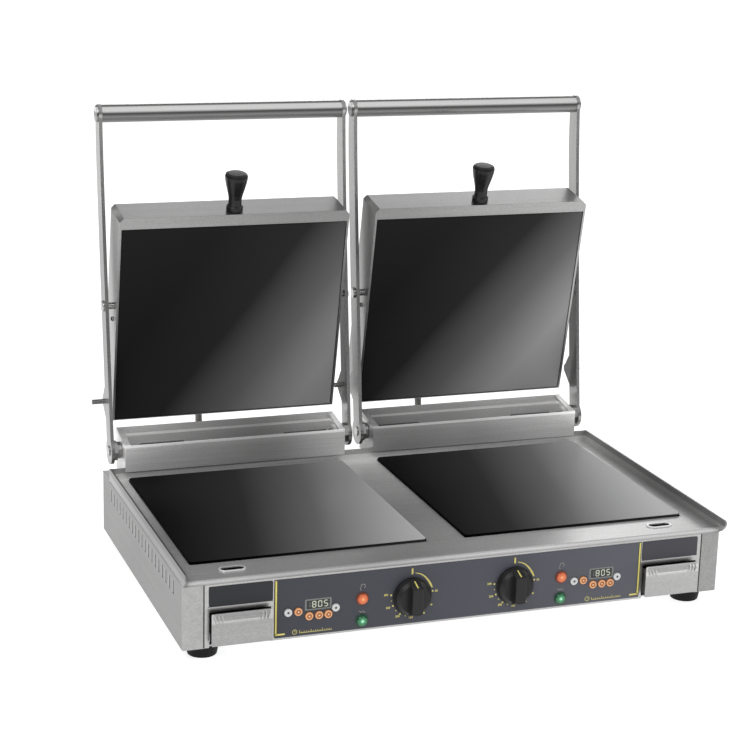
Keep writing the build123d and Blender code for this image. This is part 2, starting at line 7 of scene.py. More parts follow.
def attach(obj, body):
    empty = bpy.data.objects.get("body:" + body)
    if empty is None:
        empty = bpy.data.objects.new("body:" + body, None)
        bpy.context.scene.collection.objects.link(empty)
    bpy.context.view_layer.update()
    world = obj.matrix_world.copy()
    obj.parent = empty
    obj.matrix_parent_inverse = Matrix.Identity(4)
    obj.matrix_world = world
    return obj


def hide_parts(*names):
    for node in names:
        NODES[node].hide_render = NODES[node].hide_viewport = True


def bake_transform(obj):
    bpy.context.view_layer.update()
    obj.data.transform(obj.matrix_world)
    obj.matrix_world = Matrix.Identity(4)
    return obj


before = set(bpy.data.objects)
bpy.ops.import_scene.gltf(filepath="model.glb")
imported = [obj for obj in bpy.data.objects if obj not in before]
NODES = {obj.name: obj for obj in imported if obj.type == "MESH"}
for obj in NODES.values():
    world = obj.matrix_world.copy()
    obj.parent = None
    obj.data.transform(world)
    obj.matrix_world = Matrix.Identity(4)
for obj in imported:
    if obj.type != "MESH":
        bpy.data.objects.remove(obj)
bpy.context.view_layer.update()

# Positions below are counted in millimetres from the body's front face (Y = 0), as in the part's source.
Y_ORIGIN = 213.5
SCENE = bpy.context.scene
SIDES = (("left", -1), ("right", 1))


def P(x, y, z):
    return Vector((x / 1000, (y - Y_ORIGIN) / 1000, z / 1000))


def lin(v):
    """linear value of a display grey from 0 to 255"""
    c = v / 255
    return c / 12.92 if c <= 0.04045 else ((c + 0.055) / 1.055) ** 2.4


def rgb(r, g, b):
    return (lin(r), lin(g), lin(b), 1.0)


def link(o):
    SCENE.collection.objects.link(o)
    return o


# ------------------------------------------------------------------ camera
yaw, pitch, roll = 0.3512, 0.2675, 0.0277
ahead = Vector((math.sin(yaw) * math.cos(pitch), math.cos(yaw) * math.cos(pitch), -math.sin(pitch)))
right = Vector((math.cos(yaw), -math.sin(yaw), 0.0))
up = right.cross(ahead)
r2 = math.cos(roll) * right + math.sin(roll) * up
u2 = -math.sin(roll) * right + math.cos(roll) * up
lens = bpy.data.cameras.new("camera")
lens.sensor_fit = "HORIZONTAL"
lens.sensor_width = 36.0
lens.lens = 92.937
lens.clip_start = 0.05
lens.clip_end = 60.0
camera = link(bpy.data.objects.new("camera", lens))
camera.matrix_world = Matrix((
    (r2.x, u2.x, -ahead.x, -0.764923),
    (r2.y, u2.y, -ahead.y, -2.007375),
    (r2.z, u2.z, -ahead.z, 0.818205),
    (0.0, 0.0, 0.0, 1.0)))
SCENE.camera = camera
SCENE.view_settings.view_transform = "Standard"


# --------------------------------------------------------- material helper
class Shade:
    """a Principled material with a few shorthand calls for its nodes"""

    def __init__(self, name, **sockets):
        self.m = bpy.data.materials.new(name)
        self.m.use_nodes = True
        self.t = self.m.node_tree
        self.t.nodes.clear()
        self.out = self.t.nodes.new("ShaderNodeOutputMaterial")
        self.p = self.t.nodes.new("ShaderNodeBsdfPrincipled")
        self.t.links.new(self.p.outputs[0], self.out.inputs[0])
        self.co = self.t.nodes.new("ShaderNodeTexCoord").outputs["Object"]
        for k, v in sockets.items():
            self.p.inputs[k.replace("_", " ")].default_value = v

    def put(self, value, socket):
        if hasattr(value, "links") and not isinstance(value, (int, float)):
            self.t.links.new(value, socket)
        else:
            socket.default_value = value

    def math(self, op, a, b=0.0, c=0.0, clamp=False):
        n = self.t.nodes.new("ShaderNodeMath")
        n.operation = op
        n.use_clamp = clamp
        for v, s in zip((a, b, c), n.inputs):
            self.put(v, s)
        return n.outputs[0]

    def vec(self, op, a, b=None, scale=None):
        n = self.t.nodes.new("ShaderNodeVectorMath")
        n.operation = op
        self.put(a, n.inputs[0])
        if b is not None:
            self.put(b, n.inputs[1])
        if scale is not None:
            self.put(scale, n.inputs["Scale"])
        return n.outputs["Value"] if op in ("DOT_PRODUCT", "LENGTH", "DISTANCE") else n.outputs[0]

    def along(self, x=0.0, y=0.0, z=0.0, plus=0.0):
        """x, y and z times the position in metres, plus a number"""
        return self.math("ADD", self.vec("DOT_PRODUCT", self.co, (x, y, z)), plus)

    def noise(self, scale, detail=3.0, rough=0.55, co=None, distortion=0.0):
        n = self.t.nodes.new("ShaderNodeTexNoise")
        n.inputs["Scale"].default_value = 1.0
        n.inputs["Detail"].default_value = detail
        n.inputs["Roughness"].default_value = rough
        n.inputs["Distortion"].default_value = distortion
        at = self.vec("MULTIPLY", co if co is not None else self.co, tuple(scale))
        self.t.links.new(at, n.inputs["Vector"])
        return n.outputs[0]

    def ramp(self, fac, stops, mode="LINEAR"):
        """stops: (place, grey or colour)"""
        n = self.t.nodes.new("ShaderNodeValToRGB")
        n.color_ramp.interpolation = mode
        e = n.color_ramp.elements
        while len(e) < len(stops):
            e.new(0.5)
        for i, (at, c) in enumerate(stops):
            e[i].position = at
            e[i].color = c if isinstance(c, (tuple, list)) else (c, c, c, 1.0)
        self.put(fac, n.inputs[0])
        return n.outputs[0]

    def mix(self, fac, a, b):
        n = self.t.nodes.new("ShaderNodeMix")
        n.data_type = "RGBA"
        self.put(fac, n.inputs[0])
        self.put(a, n.inputs[6])
        self.put(b, n.inputs[7])
        return n.outputs[2]

    def colour(self, v):
        self.put(v, self.p.inputs["Base Color"])

    def rough(self, v):
        self.put(v, self.p.inputs["Roughness"])

    def bump(self, height, strength=0.2, distance=0.0002, bevel=0.0):
        b = self.t.nodes.new("ShaderNodeBump")
        b.inputs["Strength"].default_value = strength
        b.inputs["Distance"].default_value = distance
        self.put(height, b.inputs["Height"])
        if bevel:
            e = self.t.nodes.new("ShaderNodeBevel")
            e.samples = 4
            e.inputs["Radius"].default_value = bevel
            self.t.links.new(e.outputs[0], b.inputs["Normal"])
        self.t.links.new(b.outputs[0], self.p.inputs["Normal"])


STRETCH = {"X": (7.0, 900.0, 900.0), "Y": (900.0, 7.0, 900.0), "Z": (900.0, 900.0, 7.0)}
BROAD = {"X": (3.0, 130.0, 130.0), "Y": (130.0, 3.0, 130.0), "Z": (130.0, 130.0, 3.0)}


def steel(name, axis, base, rough=0.3, streak=0.10, cloud=0.07, painted_light_grade=None, tint=(1.0, 0.995, 0.985), bevel=0.0005, metallic=1.0, grain=0.55, extra=None):
    """Brushed stainless steel. grade: ((x, y, z, plus), stops) multiplies the tone along a direction, to paint light
    and shade.
    """
    s = Shade(name, Metallic=metallic)
    fine = s.noise(STRETCH[axis], 4.0, 0.6)
    broad = s.noise(BROAD[axis], 3.0, 0.5)
    soft = s.noise((9.0, 9.0, 9.0), 2.0, 0.5)
    tone = s.math("MULTIPLY_ADD", s.math("SUBTRACT", fine, 0.5), streak * 2.2, 1.0)
    tone = s.math("MULTIPLY_ADD", s.math("SUBTRACT", broad, 0.5), streak * 1.6, tone)
    tone = s.math("MULTIPLY_ADD", s.math("SUBTRACT", soft, 0.5), cloud * 2.0, tone)
    speck = s.noise((620.0, 620.0, 620.0), 2.0, 0.7)
    tone = s.math("MULTIPLY_ADD", s.math("SUBTRACT", speck, 0.5), grain, tone)
    tone = s.math("MULTIPLY", tone, base)
    if extra:
        tone = s.math("MULTIPLY", tone, extra(s))
    if painted_light_grade:
        for (x, y, z, plus), stops in painted_light_grade:
            tone = s.math("MULTIPLY", tone, s.ramp(s.along(x, y, z, plus), stops, "EASE"))
    s.colour(s.vec("SCALE", tint, scale=tone))
    r = s.math("MULTIPLY_ADD", s.math("SUBTRACT", fine, 0.5), 0.22, rough)
    s.rough(s.math("MULTIPLY_ADD", s.math("SUBTRACT", soft, 0.5), 0.10, r))
    s.bump(s.math("MULTIPLY_ADD", broad, 0.6, fine), 0.22, 0.00012, bevel)
    return s.m


def plastic(name, colour, rough=0.4, grain=0.00006, bevel=0.0006, level=0.5, scale=1400.0):
    s = Shade(name)
    s.p.inputs["Specular IOR Level"].default_value = level
    n = s.noise((scale,) * 3, 3.0, 0.6)
    m = s.noise((35.0,) * 3, 3.0, 0.6)
    tone = s.math("MULTIPLY_ADD", s.math("SUBTRACT", n, 0.5), 0.25, 1.0)
    tone = s.math("MULTIPLY_ADD", s.math("SUBTRACT", m, 0.5), 0.35, tone)
    s.colour(s.vec("SCALE", colour[:3], scale=tone))
    s.rough(s.math("MULTIPLY_ADD", s.math("SUBTRACT", n, 0.5), 0.25, rough))
    s.bump(n, 0.35, grain, bevel)
    return s.m


def paint(mat, *names):
    for name in names:
        o = NODES[name]
        if o.material_slots:
            for slot in o.material_slots:
                slot.link = "OBJECT"
                slot.material = mat
        else:
            o.data.materials.append(mat)


# ------------------------------------------------------------ mesh helpers
def mesh_piece(name, bm, mat, body, smooth=None):
    bmesh.ops.remove_doubles(bm, verts=bm.verts, dist=1e-7)
    bmesh.ops.recalc_face_normals(bm, faces=bm.faces)
    me = bpy.data.meshes.new(name)
    bm.to_mesh(me)
    bm.free()
    o = link(bpy.data.objects.new(name, me))
    o.data.materials.append(mat)
    if smooth is not None:
        for f in me.polygons:
            f.use_smooth = True
        me.set_sharp_from_angle(angle=math.radians(smooth))
    if body:
        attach(o, body)
    return o


def slab(bm, outline, front, rear):
    """closed prism over an (x, z) outline, between two Y, in millimetres"""
    a = [bm.verts.new(P(x, front, z)) for x, z in outline]
    b = [bm.verts.new(P(x, rear, z)) for x, z in outline]
    bm.faces.new(a)
    bm.faces.new(b[::-1])
    n = len(a)
    for i in range(n):
        bm.faces.new((a[i], b[i], b[(i + 1) % n], a[(i + 1) % n]))


def band(bm, inner, outer, front, rear, closed=True):
    """closed prism of the strip between two (x, z) lines of the same count"""
    n = len(inner)
    v = [[bm.verts.new(P(x, y, z)) for x, z in row] for row, y in ((inner, front), (outer, front), (inner, rear), (outer, rear))]
    last = n if closed else n - 1
    for i in range(last):
        j = (i + 1) % n
        bm.faces.new((v[0][i], v[0][j], v[1][j], v[1][i]))
        bm.faces.new((v[2][i], v[3][i], v[3][j], v[2][j]))
        bm.faces.new((v[0][i], v[2][i], v[2][j], v[0][j]))
        bm.faces.new((v[1][i], v[1][j], v[3][j], v[3][i]))
    if not closed:
        bm.faces.new((v[0][0], v[1][0], v[3][0], v[2][0]))
        bm.faces.new((v[0][-1], v[2][-1], v[3][-1], v[1][-1]))


def ring_line(x, z, r, n=40):
    return [(x + r * math.cos(2 * math.pi * i / n), z + r * math.sin(2 * math.pi * i / n)) for i in range(n)]


def rounded(x0, x1, z0, z1, r, n=4):
    out = []
    for cx, cz, a0 in ((x1 - r, z1 - r, 0), (x0 + r, z1 - r, 90), (x0 + r, z0 + r, 180), (x1 - r, z0 + r, 270)):
        for i in range(n + 1):
            a = math.radians(a0 + 90 * i / n)
            out.append((cx + r * math.cos(a), cz + r * math.sin(a)))
    return out


def stroke(bm, pts, width, front, rear):
    """closed strip of one width, or a list of widths, along an (x, z) line"""
    n = len(pts)
    widths = width if isinstance(width, (list, tuple)) else [width] * n
    left, right_side = [], []
    for i, (x, z) in enumerate(pts):
        a = pts[max(0, i - 1)]
        b = pts[min(n - 1, i + 1)]
        dx, dz = b[0] - a[0], b[1] - a[1]
        d = math.hypot(dx, dz)
        nx, nz = -dz / d, dx / d
        h = widths[i] / 2
        left.append((x + nx * h, z + nz * h))
        right_side.append((x - nx * h, z - nz * h))
    band(bm, left, right_side, front, rear, closed=False)


def lathe(bm, profile, place, n=28, flat=None):
    """closed turned form. profile: (radius, height); place turns (x, y, height) in millimetres to a point.
    flat names the rings that are hexagonal instead of round."""
    rings = []
    for k, (r, h) in enumerate(profile):
        row = []
        for i in range(n):
            a = 2 * math.pi * i / n
            q = r
            if flat and k in flat:
                t = (a % (math.pi / 3)) - math.pi / 6
                q = r * math.cos(math.pi / 6) / math.cos(t)
            row.append(bm.verts.new(place(q * math.cos(a), q * math.sin(a), h)))
        rings.append(row)
    for a, b in zip(rings, rings[1:]):
        for i in range(n):
            j = (i + 1) % n
            bm.faces.new((a[i], a[j], b[j], b[i]))
    bm.faces.new(rings[0][::-1])
    bm.faces.new(rings[-1])


def text_mesh(bm, words, size, x, z, front, rear):
    """plain digits as closed solids, centred at (x, z) and facing the front"""
    cu = bpy.data.curves.new("digits", "FONT")
    cu.body = words
    cu.size = size / 1000
    cu.align_x = "CENTER"
    cu.align_y = "CENTER"
    cu.extrude = abs(rear - front) / 2000
    cu.offset = 0.00007
    cu.resolution_u = 3
    tmp = link(bpy.data.objects.new("digits", cu))
    bpy.context.view_layer.update()
    me = bpy.data.meshes.new_from_object(tmp.evaluated_get(bpy.context.evaluated_depsgraph_get()))
    me.transform(Matrix.Rotation(math.radians(90), 4, "X"))
    me.transform(Matrix.Translation(P(x, (front + rear) / 2, z)))
    bm.from_mesh(me)
    bpy.data.objects.remove(tmp)
    bpy.data.curves.remove(cu)
    bpy.data.meshes.remove(me)


# --------------------------------------------------------------- conduits
# route in (Y, Z), from the gland on the rear up to the inside of the lid
ROUTE = ((399.0, 57.0), (420.0, 57.0), (440.0, 71.0), (456.0, 95.0), (463.5, 125.0), (463.0, 163.0), (465.0, 203.0),
         (464.0, 243.0), (460.0, 269.0), (449.0, 286.5), (431.5, 294.6), (406.5, 289.7))
CONDUIT_X = {"left": -172.0, "right": 122.0}

hose = Shade("conduit_grey", Metallic=0.0)
hose.p.inputs["Specular IOR Level"].default_value = 0.4
hn = hose.noise((260.0, 260.0, 260.0), 4.0, 0.6)
hb = hose.noise((22.0, 22.0, 22.0), 2.0, 0.5)
htone = hose.math("MULTIPLY_ADD", hose.math("SUBTRACT", hn, 0.5), 0.30, 1.0)
htone = hose.math("MULTIPLY_ADD", hose.math("SUBTRACT", hb, 0.5), 0.30, htone)
hose.colour(hose.vec("SCALE", (lin(150), lin(148), lin(144)), scale=htone))
hose.rough(hose.math("MULTIPLY_ADD", hn, 0.25, 0.40))
hose.bump(hn, 0.3, 0.0001)

for side, s in SIDES:
    x = CONDUIT_X[side]
    cu = bpy.data.curves.new(side + "_route", "CURVE")
    cu.dimensions = "3D"
    cu.resolution_u = 60
    sp = cu.splines.new("NURBS")
    sp.points.add(len(ROUTE) - 1)
    for point, (y, z) in zip(sp.points, ROUTE):
        point.co = (*P(x, y, z), 1.0)
    sp.order_u = 3
    sp.use_endpoint_u = True
    line = link(bpy.data.objects.new(side + "_route", cu))
    bpy.context.view_layer.update()
    me = bpy.data.meshes.new_from_object(line.evaluated_get(bpy.context.evaluated_depsgraph_get()))
    path = [v.co.copy() for v in me.vertices]
    bpy.data.meshes.remove(me)
    bpy.data.objects.remove(line)
    bpy.data.curves.remove(cu)
    if (path[0] - P(x, *ROUTE[0])).length > (path[-1] - P(x, *ROUTE[0])).length:
        path.reverse()
    bm = bmesh.new()
    rings, run = [], 0.0
    for i, p in enumerate(path):
        if i:
            run += (p - path[i - 1]).length
        along = (path[min(i + 1, len(path) - 1)] - path[max(i - 1, 0)]).normalized()
        side_way = Vector((1, 0, 0))
        other = along.cross(side_way).normalized()
        # ribs every 3 mm
        r = 0.0045 - 0.00042 * (0.5 - 0.5 * math.cos(2 * math.pi * run / 0.003)) ** 0.8
        rings.append([bm.verts.new(p + side_way * r * math.cos(a) + other * r * math.sin(a))
                      for a in (2 * math.pi * k / 16 for k in range(16))])
    for a, b in zip(rings, rings[1:]):
        for k in range(16):
            m = (k + 1) % 16
            bm.faces.new((a[k], a[m], b[m], b[k]))
    bm.faces.new(rings[0][::-1])
    bm.faces.new(rings[-1])
    tube = mesh_piece(side + "_corrugated_conduit", bm, hose.m, None, smooth=60)
    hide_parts(side + "_conduit")
    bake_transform(tube)
    [tuple(p) for p in path]

# ---------------------------------------------------------------- finishes
def louvre_slot_painted_shade_and_highlight(s):
    """twenty slots along the panel: painted shade in each slot, with a painted highlight along its rear edge"""
    y = s.vec("DOT_PRODUCT", s.co, (0.0, 1.0, 0.0))
    z = s.vec("DOT_PRODUCT", s.co, (0.0, 0.0, 1.0))
    row = s.math("COMPARE", z, 0.0703, 0.0078)
    step = 0.3008 / 19
    u = s.math("DIVIDE", s.math("ADD", y, 0.1749 + step / 2), step)
    f = s.math("SUBTRACT", s.math("FRACT", u), 0.5)
    inside = s.math("MULTIPLY", row, s.math("COMPARE", u, 10.0, 10.0))
    dark = s.math("MULTIPLY", inside, s.math("COMPARE", f, -0.02, 0.13))
    bright = s.math("MULTIPLY", inside, s.math("COMPARE", f, 0.20, 0.07))
    return s.math("MULTIPLY_ADD", bright, 0.7, s.math("MULTIPLY_ADD", dark, -0.6, 1.0))


# left side: painted shade keeps the side face, from about 2 mm behind the front, at 0.54 of the front's tone; the
# right side is a darker copy of the same steel, painted shade
side_left = steel("steel_left_side", "Y", 0.40, 0.36, 0.14, metallic=0.85, extra=louvre_slot_painted_shade_and_highlight,
                  painted_light_grade=(((0.0, 50.0, 0.0, 10.7), ((0.0, 1.0), (0.10, 1.0), (0.16, 0.54), (1.0, 0.54))),))
side_right = steel("steel_right_side", "Y", 0.31, 0.36, 0.14, metallic=0.85, extra=louvre_slot_painted_shade_and_highlight)
paint(side_left, "left_side_panel")
paint(side_right, "right_side_panel")
paint(steel("steel_rear", "X", 0.38, 0.36), "rear_panel")
# deck: painted reflection, brighter along the rear and at the left rear, darker at the left front; painted shade makes
# the upturned right side dark inside, and darkens the far left end, the parts below the deck top and everything above
# 94.6 mm, along the boxes' lower edge
def deck_drain_painted_shade_and_highlight(s):
    """the drains: painted shade inside them, and on everything of the deck below 86.2 mm and over 10 mm behind the
    front; a painted highlight on their raised lip
    """
    z = s.vec("DOT_PRODUCT", s.co, (0.0, 0.0, 1.0))
    y = s.vec("DOT_PRODUCT", s.co, (0.0, 1.0, 0.0))
    x = s.vec("DOT_PRODUCT", s.vec("ABSOLUTE", s.co), (1.0, 0.0, 0.0))
    under = s.math("MULTIPLY", s.math("LESS_THAN", z, 0.0862), s.math("GREATER_THAN", y, -0.2035))
    lip = s.math("MULTIPLY", s.math("GREATER_THAN", z, 0.0868), s.math("COMPARE", y, -0.1835, 0.0078))
    lip = s.math("MULTIPLY", lip, s.math("COMPARE", x, 0.249, 0.0158))
    return s.math("MULTIPLY_ADD", lip, 0.9, s.math("MULTIPLY_ADD", under, -0.95, 1.0))


paint(steel("steel_deck", "X", 1.00, 0.34, 0.15, 0.12, metallic=0.45, bevel=0.0004, extra=deck_drain_painted_shade_and_highlight,
            painted_light_grade=(((0.0, 2.6, 0.0, 0.5), ((0.0, 0.68), (0.30, 0.58), (0.60, 0.76), (0.80, 1.0))),
                   ((1.55, 0.0, 0.0, 0.5), ((0.0, 0.38), (0.022, 0.38), (0.035, 0.80), (0.30, 0.60), (0.60, 0.85), (0.96, 0.85), (0.975, 0.60))),
                   ((0.0, 0.0, 50.0, -4.2), ((0.0, 0.50), (0.10, 0.86), (0.16, 1.0), (0.50, 1.0), (0.53, 0.60))))), "top_deck")
paint(steel("steel_front_frame", "X", 0.44, 0.32, 0.12), "front_frame")
# drawers: painted reflection, lighter towards the right, and a painted highlight on the lip band from about 44 mm up
paint(steel("steel_drawer", "X", 0.62, 0.36, 0.10, metallic=0.8,
            painted_light_grade=(((1.7, 0.0, 0.0, 0.5), ((0.0, 0.86), (1.0, 1.0))),
                   ((0.0, 0.0, 25.0, -0.35), ((0.0, 0.66), (0.70, 0.68), (0.76, 1.0), (1.0, 0.95))))), "left_drawer", "right_drawer")
# boxes: painted reflection, bright at both ends, with a soft dark band between; a painted highlight along the folded
# top edge
def box_rear(s):
    """the rear wall's outer face has the body's tone"""
    return s.math("MULTIPLY_ADD", s.math("GREATER_THAN", s.vec("DOT_PRODUCT", s.co, (0.0, 1.0, 0.0)), 0.1799), -0.70, 1.0)


paint(steel("steel_box", "X", 1.85, 0.36, 0.15, 0.14, metallic=0.35, extra=box_rear,
            painted_light_grade=(((1.72, 0.0, 0.0, 0.5), ((0.0, 0.90), (0.30, 0.40), (0.47, 0.80), (0.53, 0.45), (1.0, 0.85))),
                   ((0.0, 0.0, 40.0, -4.6), ((0.0, 0.50), (0.40, 0.56), (0.415, 1.0), (0.525, 1.0), (0.54, 0.56), (1.0, 0.50))))), "spring_boxes")
# arms: painted reflection, darker towards the middle of their height and lighter towards the top
paint(steel("steel_arm", "Z", 0.40, 0.28, 0.16, 0.14, metallic=0.9,
            painted_light_grade=(((0.0, 0.0, 2.4, -0.25), ((0.0, 0.80), (0.12, 0.66), (0.30, 0.50), (0.55, 0.62), (0.8, 0.90), (1.0, 0.95))),)), "left_outer_arm", "right_outer_arm", "left_inner_arm", "right_inner_arm")
# polished tube: painted reflection bands, a dark top edge, a bright band, a thin dark line, a mid grey underside
paint(steel("steel_handle", "X", 0.90, 0.22, 0.08, 0.04, metallic=0.35, grain=0.2,
            painted_light_grade=(((0.0, 0.0, 40.0, -19.95), ((0.0, 0.15), (0.25, 0.30), (0.45, 0.07), (0.60, 0.80), (0.74, 0.80), (0.80, 0.10))),)), "left_handle", "right_handle")
# lids: painted shade, darker towards their inner ends in the middle
paint(steel("steel_lid", "X", 0.37, 0.34, 0.13, 0.10,
            painted_light_grade=(((1.72, 0.0, 0.0, 0.5), ((0.0, 1.02), (0.42, 0.76), (0.56, 0.76), (0.80, 0.92), (1.0, 1.0))),)), "left_lid_shell", "right_lid_shell")
paint(steel("steel_turned", "Z", 0.46, 0.26, 0.10, bevel=0.0004), "left_shaft", "right_shaft", "left_pivot_pins", "right_pivot_pins",
      "left_thermostat_spindle", "right_thermostat_spindle")
paint(steel("steel_nut", "X", 0.42, 0.30, 0.12, bevel=0.0005), "left_shaft_nuts", "right_shaft_nuts")
paint(steel("spring_steel", "X", 0.30, 0.38, 0.20, 0.2, bevel=0.0), "lift_springs")

# zinc-plated sheet: a fine spangle
zinc = Shade("zinc_plated", Metallic=0.9)
vor = zinc.t.nodes.new("ShaderNodeTexVoronoi")
vor.inputs["Scale"].default_value = 160.0
zinc.t.links.new(zinc.co, vor.inputs["Vector"])
cell = zinc.vec("DOT_PRODUCT", vor.outputs["Color"], (0.33, 0.33, 0.33))
zn = zinc.noise((60.0, 60.0, 60.0), 3.0, 0.5)
zt = zinc.math("MULTIPLY_ADD", cell, 0.22, zinc.math("MULTIPLY_ADD", zn, 0.15, 0.36))
zinc.colour(zinc.vec("SCALE", (0.97, 0.99, 1.0), scale=zt))
zinc.rough(zinc.math("MULTIPLY_ADD", cell, 0.2, 0.35))
zinc.bump(zn, 0.1, 0.0001)
paint(zinc.m, "base_pan", "drawer_guides", "thermostats")

# heaters: light fibre board in bright sheet trays
heat = Shade("heater_tray", Metallic=0.5)
hh = heat.noise((500.0, 500.0, 500.0), 4.0, 0.7)
heat.colour(heat.ramp(hh, ((0.3, rgb(120, 116, 108)), (0.7, rgb(176, 172, 160)))))
heat.rough(heat.math("MULTIPLY_ADD", hh, 0.3, 0.45))
heat.bump(hh, 0.5, 0.0003)
paint(heat.m, "lower_heaters", "left_upper_heater", "right_upper_heater")

board = Shade("circuit_board")
bb = board.noise((300.0, 300.0, 300.0), 2.0, 0.5)
board.colour(board.ramp(bb, ((0.42, rgb(18, 70, 40)), (0.52, rgb(30, 104, 58)), (0.62, rgb(120, 128, 90)))))
board.rough(board.math("MULTIPLY_ADD", bb, 0.2, 0.35))
board.bump(bb, 0.3, 0.0002)
paint(board.m, "timer_boards")

paint(plastic("knob_plastic", rgb(27, 27, 27), 0.45, level=0.35), "left_thermostat_knob", "right_thermostat_knob")
paint(plastic("lid_knob_plastic", rgb(14, 14, 14), 0.34, level=0.4), "left_lid_knob", "right_lid_knob")
paint(plastic("foot_rubber", rgb(18, 18, 18), 0.6, grain=0.0001, level=0.2), "feet")
paint(plastic("gland_nylon", rgb(30, 30, 32), 0.45), "cable_glands")
paint(plastic("display_window", rgb(34, 36, 34), 0.22, grain=0.00001, bevel=0.0003, level=0.5), "timer_displays")

# printed control panel: slate grey film with a fine tooth
film = Shade("fascia_film")
film.p.inputs["Specular IOR Level"].default_value = 0.35
fn = film.noise((1500.0, 1500.0, 1500.0), 3.0, 0.6)
fb = film.noise((18.0, 18.0, 18.0), 3.0, 0.5)
# painted sheen: the film grows lighter towards the right
fg = film.ramp(film.along(2.3, 0, 0, 0.5), ((0.0, rgb(58, 60, 67)), (0.5, rgb(74, 75, 84)), (1.0, rgb(90, 91, 99))))
ft = film.math("MULTIPLY_ADD", film.math("SUBTRACT", fn, 0.5), 0.18, 1.0)
ft = film.math("MULTIPLY_ADD", film.math("SUBTRACT", fb, 0.5), 0.14, ft)
film.colour(film.vec("SCALE", fg, scale=ft))
film.rough(film.math("MULTIPLY_ADD", fn, 0.2, 0.38))
film.bump(fn, 0.25, 0.00004)
paint(film.m, "control_fascia")

plate = Shade("label_film")
plate.p.inputs["Specular IOR Level"].default_value = 0.18
pn = plate.noise((1500.0, 1500.0, 1500.0), 3.0, 0.6)
# painted sheen: the plates grow lighter towards the right
pg = plate.ramp(plate.along(1.75, 0, 0, 0.5), ((0.0, rgb(50, 51, 54)), (1.0, rgb(76, 76, 82))))
pt = plate.math("MULTIPLY_ADD", plate.math("SUBTRACT", pn, 0.5), 0.2, 1.0)
plate.colour(plate.vec("SCALE", pg, scale=pt))
plate.rough(plate.math("MULTIPLY_ADD", pn, 0.2, 0.38))
plate.bump(pn, 0.25, 0.00004)
paint(plate.m, "label_plates")


def glass(name, q, stops, level, rough):
    """black glass-ceramic with a painted sheen that brightens along one direction"""
    s = Shade(name)
    s.p.inputs["Specular IOR Level"].default_value = level
    wave = s.noise((6.0, 6.0, 6.0), 2.0, 0.4)
    dust = s.noise((2200.0, 2200.0, 2200.0), 2.0, 0.6)
    at = s.math("MULTIPLY_ADD", s.math("SUBTRACT", wave, 0.5), 0.05, s.along(*q))
    tone = s.math("MULTIPLY", s.ramp(at, stops, "EASE" if len(stops) < 3 else "LINEAR"), s.math("MULTIPLY_ADD", dust, 0.16, 0.92))
    s.colour(s.vec("SCALE", (1.0, 1.0, 1.0), scale=tone))
    s.rough(s.math("MULTIPLY_ADD", wave, 0.06, rough))
    s.bump(wave, 0.02, 0.0001)
    return s.m


# lower plates: painted reflection, lighter as q runs 0 to 1.2 from the left rear to the right front
LOWER = ((0.08, 0.002), (0.40, 0.03), (0.65, 0.14), (1.0, 0.50))
# one material reads |X|-free positions: left plate spans X -288.5 to -22.5, right plate 22.5 to 288.5
low = Shade("lower_glass")
low.p.inputs["Specular IOR Level"].default_value = 0.015
lx = low.vec("DOT_PRODUCT", low.co, (1.0, 0.0, 0.0))
is_right = low.math("GREATER_THAN", lx, 0.0)
ls = low.math("DIVIDE", low.math("ADD", lx, low.math("MULTIPLY_ADD", is_right, -0.311, 0.2885)), 0.266)
lt = low.math("DIVIDE", low.math("SUBTRACT", 0.1275, low.vec("DOT_PRODUCT", low.co, (0.0, 1.0, 0.0))), 0.288)
lq = low.math("MULTIPLY_ADD", lt, 0.22, ls)
lq = low.math("MULTIPLY_ADD", is_right, 0.04, lq)
lw = low.noise((6.0, 6.0, 6.0), 2.0, 0.4)
lq = low.math("MULTIPLY_ADD", low.math("SUBTRACT", lw, 0.5), 0.04, lq)
lq = low.math("MULTIPLY", lq, 0.83)
ld = low.noise((2200.0, 2200.0, 2200.0), 2.0, 0.6)
ltone = low.math("MULTIPLY", low.ramp(lq, LOWER), low.math("MULTIPLY_ADD", ld, 0.16, 0.92))
# the painted reflection stays on the top face; the plate's edges get 0.07 of it
on_top = low.math("GREATER_THAN", low.vec("DOT_PRODUCT", low.co, (0.0, 0.0, 1.0)), 0.0893)
ltone = low.math("MULTIPLY", ltone, low.math("MULTIPLY_ADD", on_top, 0.93, 0.07))
low.colour(low.vec("SCALE", (1.0, 1.0, 1.0), scale=ltone))
low.rough(low.math("MULTIPLY_ADD", lw, 0.06, 0.30))
low.bump(lw, 0.02, 0.0001)
paint(low.m, "lower_glasses")

# upper plates: dark, with a painted reflection in a soft slanting edge to a lighter lower right
UPPER = ((0.0, 0.013), (0.40, 0.025), (0.70, 0.15), (1.0, 0.38))
for side, s in SIDES:
    # s across the plate, t up the plate
    x0 = -0.2915 if side == "left" else 0.0195
    k, c = (0.65, 0.30) if side == "left" else (0.75, 0.15)
    # up the plate is about Z: from 0.1447 to 0.384
    q = (1 / 0.272, 0.0, -k / 0.2394, 0.5 - x0 / 0.272 + k * 0.1447 / 0.2394 - c)
    paint(glass(side + "_upper_glass_painted_sheen", q, UPPER, 0.06, 0.30), side + "_upper_glass")

